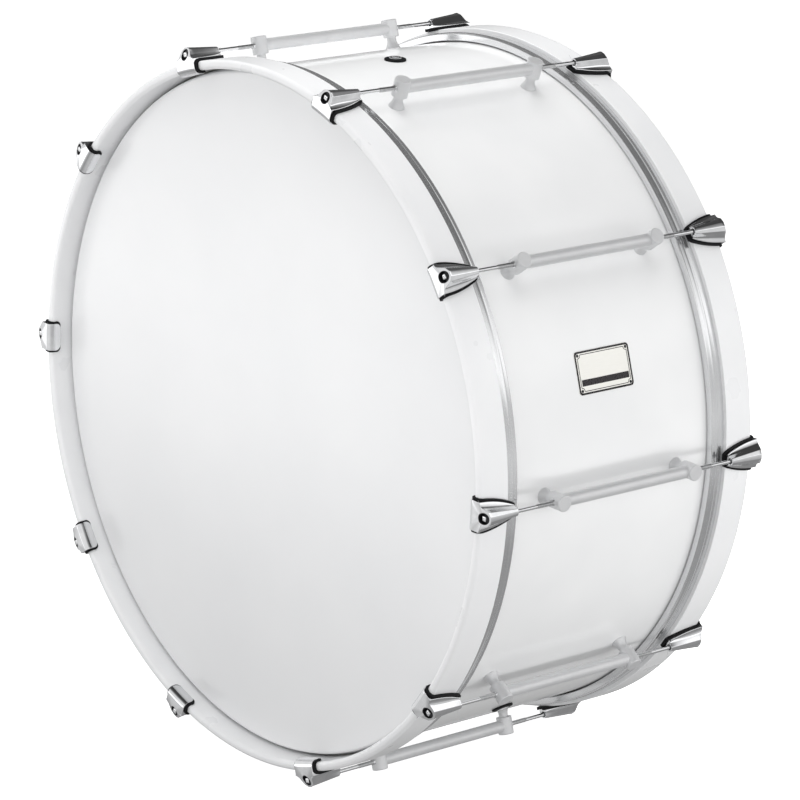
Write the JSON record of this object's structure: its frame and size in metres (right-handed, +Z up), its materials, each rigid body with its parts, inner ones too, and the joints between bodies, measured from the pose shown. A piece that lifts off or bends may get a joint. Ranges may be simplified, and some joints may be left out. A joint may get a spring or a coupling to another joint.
{
  "type": "marching bass drum",
  "caption": "Large white bass drum with a glossy shell, a head at each end, lacquered counter hoops, chrome claws, key rods and tube lugs.",
  "frame": {"origin": "centre of the bounding box at its lowest level, which is the floor under the lug posts the drum stands on", "axes": "+Z up, +Y along the drum's axis from the front head to the rear one, +X to the side that carries the badge"},
  "size_m": [0.8816, 0.419, 0.8435],
  "materials": {
    "shell_wood": "sanded plywood",
    "covering": "gloss",
    "hoop_lacquer": "gloss white lacquer on wood",
    "head_film": "semi-gloss coated film",
    "resin": "matt cast resin",
    "hoop_metal": "brushed lengthwise",
    "lug_metal": "satin",
    "claw_chrome": "polished",
    "rod_steel": "bright plated",
    "black_rubber": "matt",
    "black_nylon": "matt",
    "badge_metal": "satin print on thin metal",
    "pin_steel": "dark plated"
  },
  "bodies": {
    "shell_body": {"shell": "shell_wood", "shell_covering": "covering", "lug_tubes": "lug_metal", "front_lug_posts": "lug_metal", "rear_lug_posts": "lug_metal", "lug_inserts": "rod_steel", "lug_screws": "rod_steel", "lug_washers": "rod_steel", "vent_rings": "black_rubber", "vent_eyelets": "claw_chrome", "badge_plate": "badge_metal", "badge_pins": "pin_steel"},
    "front_head_set": {"front_head_film": "head_film", "front_head_resin": "resin", "front_flesh_hoop": "hoop_metal", "front_counter_hoop": "hoop_lacquer", "front_claws": "claw_chrome", "front_claw_liners": "black_rubber", "front_nylon_washers": "black_nylon", "front_steel_washers": "rod_steel"},
    "front_rod_1": {"front_key_rod_1": "rod_steel"},
    "front_rod_2": {"front_key_rod_2": "rod_steel"},
    "front_rod_3": {"front_key_rod_3": "rod_steel"},
    "front_rod_4": {"front_key_rod_4": "rod_steel"},
    "front_rod_5": {"front_key_rod_5": "rod_steel"},
    "front_rod_6": {"front_key_rod_6": "rod_steel"},
    "front_rod_7": {"front_key_rod_7": "rod_steel"},
    "front_rod_8": {"front_key_rod_8": "rod_steel"},
    "front_rod_9": {"front_key_rod_9": "rod_steel"},
    "front_rod_10": {"front_key_rod_10": "rod_steel"},
    "rear_head_set": {"rear_head_film": "head_film", "rear_head_resin": "resin", "rear_flesh_hoop": "hoop_metal", "rear_counter_hoop": "hoop_lacquer", "rear_claws": "claw_chrome", "rear_claw_liners": "black_rubber", "rear_nylon_washers": "black_nylon", "rear_steel_washers": "rod_steel"},
    "rear_rod_1": {"rear_key_rod_1": "rod_steel"},
    "rear_rod_2": {"rear_key_rod_2": "rod_steel"},
    "rear_rod_3": {"rear_key_rod_3": "rod_steel"},
    "rear_rod_4": {"rear_key_rod_4": "rod_steel"},
    "rear_rod_5": {"rear_key_rod_5": "rod_steel"},
    "rear_rod_6": {"rear_key_rod_6": "rod_steel"},
    "rear_rod_7": {"rear_key_rod_7": "rod_steel"},
    "rear_rod_8": {"rear_key_rod_8": "rod_steel"},
    "rear_rod_9": {"rear_key_rod_9": "rod_steel"},
    "rear_rod_10": {"rear_key_rod_10": "rod_steel"}
  },
  "joints": [
    {"name": "front_head_slack", "type": "slide", "parent": "shell_body", "child": "front_head_set", "axis": [0, -1, 0], "range_m": [0, 0.012]},
    {"name": "front_rod_1_turn", "type": "hinge", "parent": "front_head_set", "child": "front_rod_1", "pos_m": [-0.13288, -0.16, 0.8307], "axis": [0, -1, 0], "range_deg": [0, 4090]},
    {"name": "front_rod_2_turn", "type": "hinge", "parent": "front_head_set", "child": "front_rod_2", "pos_m": [0.13288, -0.16, 0.8307], "axis": [0, -1, 0], "range_deg": [0, 4090]},
    {"name": "front_rod_3_turn", "type": "hinge", "parent": "front_head_set", "child": "front_rod_3", "pos_m": [0.34788, -0.16, 0.6745], "axis": [0, -1, 0], "range_deg": [0, 4090]},
    {"name": "front_rod_4_turn", "type": "hinge", "parent": "front_head_set", "child": "front_rod_4", "pos_m": [0.43, -0.16, 0.42175], "axis": [0, -1, 0], "range_deg": [0, 4090]},
    {"name": "front_rod_5_turn", "type": "hinge", "parent": "front_head_set", "child": "front_rod_5", "pos_m": [0.34788, -0.16, 0.169], "axis": [0, -1, 0], "range_deg": [0, 4090]},
    {"name": "front_rod_6_turn", "type": "hinge", "parent": "front_head_set", "child": "front_rod_6", "pos_m": [0.13288, -0.16, 0.0128], "axis": [0, -1, 0], "range_deg": [0, 4090]},
    {"name": "front_rod_7_turn", "type": "hinge", "parent": "front_head_set", "child": "front_rod_7", "pos_m": [-0.13288, -0.16, 0.0128], "axis": [0, -1, 0], "range_deg": [0, 4090]},
    {"name": "front_rod_8_turn", "type": "hinge", "parent": "front_head_set", "child": "front_rod_8", "pos_m": [-0.34788, -0.16, 0.169], "axis": [0, -1, 0], "range_deg": [0, 4090]},
    {"name": "front_rod_9_turn", "type": "hinge", "parent": "front_head_set", "child": "front_rod_9", "pos_m": [-0.43, -0.16, 0.42175], "axis": [0, -1, 0], "range_deg": [0, 4090]},
    {"name": "front_rod_10_turn", "type": "hinge", "parent": "front_head_set", "child": "front_rod_10", "pos_m": [-0.34788, -0.16, 0.6745], "axis": [0, -1, 0], "range_deg": [0, 4090]},
    {"name": "rear_head_slack", "type": "slide", "parent": "shell_body", "child": "rear_head_set", "axis": [0, 1, 0], "range_m": [0, 0.012]},
    {"name": "rear_rod_1_turn", "type": "hinge", "parent": "rear_head_set", "child": "rear_rod_1", "pos_m": [-0.13288, 0.16, 0.8307], "axis": [0, 1, 0], "range_deg": [0, 4090]},
    {"name": "rear_rod_2_turn", "type": "hinge", "parent": "rear_head_set", "child": "rear_rod_2", "pos_m": [0.13288, 0.16, 0.8307], "axis": [0, 1, 0], "range_deg": [0, 4090]},
    {"name": "rear_rod_3_turn", "type": "hinge", "parent": "rear_head_set", "child": "rear_rod_3", "pos_m": [0.34788, 0.16, 0.6745], "axis": [0, 1, 0], "range_deg": [0, 4090]},
    {"name": "rear_rod_4_turn", "type": "hinge", "parent": "rear_head_set", "child": "rear_rod_4", "pos_m": [0.43, 0.16, 0.42175], "axis": [0, 1, 0], "range_deg": [0, 4090]},
    {"name": "rear_rod_5_turn", "type": "hinge", "parent": "rear_head_set", "child": "rear_rod_5", "pos_m": [0.34788, 0.16, 0.169], "axis": [0, 1, 0], "range_deg": [0, 4090]},
    {"name": "rear_rod_6_turn", "type": "hinge", "parent": "rear_head_set", "child": "rear_rod_6", "pos_m": [0.13288, 0.16, 0.0128], "axis": [0, 1, 0], "range_deg": [0, 4090]},
    {"name": "rear_rod_7_turn", "type": "hinge", "parent": "rear_head_set", "child": "rear_rod_7", "pos_m": [-0.13288, 0.16, 0.0128], "axis": [0, 1, 0], "range_deg": [0, 4090]},
    {"name": "rear_rod_8_turn", "type": "hinge", "parent": "rear_head_set", "child": "rear_rod_8", "pos_m": [-0.34788, 0.16, 0.169], "axis": [0, 1, 0], "range_deg": [0, 4090]},
    {"name": "rear_rod_9_turn", "type": "hinge", "parent": "rear_head_set", "child": "rear_rod_9", "pos_m": [-0.43, 0.16, 0.42175], "axis": [0, 1, 0], "range_deg": [0, 4090]},
    {"name": "rear_rod_10_turn", "type": "hinge", "parent": "rear_head_set", "child": "rear_rod_10", "pos_m": [-0.34788, 0.16, 0.6745], "axis": [0, 1, 0], "range_deg": [0, 4090]}
  ],
  "couplings": [
    {"joint": "front_rod_1_turn", "follows": "front_head_slack", "rad_per_m": 5936.9},
    {"joint": "front_rod_2_turn", "follows": "front_head_slack", "rad_per_m": 5936.9},
    {"joint": "front_rod_3_turn", "follows": "front_head_slack", "rad_per_m": 5936.9},
    {"joint": "front_rod_4_turn", "follows": "front_head_slack", "rad_per_m": 5936.9},
    {"joint": "front_rod_5_turn", "follows": "front_head_slack", "rad_per_m": 5936.9},
    {"joint": "front_rod_6_turn", "follows": "front_head_slack", "rad_per_m": 5936.9},
    {"joint": "front_rod_7_turn", "follows": "front_head_slack", "rad_per_m": 5936.9},
    {"joint": "front_rod_8_turn", "follows": "front_head_slack", "rad_per_m": 5936.9},
    {"joint": "front_rod_9_turn", "follows": "front_head_slack", "rad_per_m": 5936.9},
    {"joint": "front_rod_10_turn", "follows": "front_head_slack", "rad_per_m": 5936.9},
    {"joint": "rear_rod_1_turn", "follows": "rear_head_slack", "rad_per_m": 5936.9},
    {"joint": "rear_rod_2_turn", "follows": "rear_head_slack", "rad_per_m": 5936.9},
    {"joint": "rear_rod_3_turn", "follows": "rear_head_slack", "rad_per_m": 5936.9},
    {"joint": "rear_rod_4_turn", "follows": "rear_head_slack", "rad_per_m": 5936.9},
    {"joint": "rear_rod_5_turn", "follows": "rear_head_slack", "rad_per_m": 5936.9},
    {"joint": "rear_rod_6_turn", "follows": "rear_head_slack", "rad_per_m": 5936.9},
    {"joint": "rear_rod_7_turn", "follows": "rear_head_slack", "rad_per_m": 5936.9},
    {"joint": "rear_rod_8_turn", "follows": "rear_head_slack", "rad_per_m": 5936.9},
    {"joint": "rear_rod_9_turn", "follows": "rear_head_slack", "rad_per_m": 5936.9},
    {"joint": "rear_rod_10_turn", "follows": "rear_head_slack", "rad_per_m": 5936.9}
  ]
}
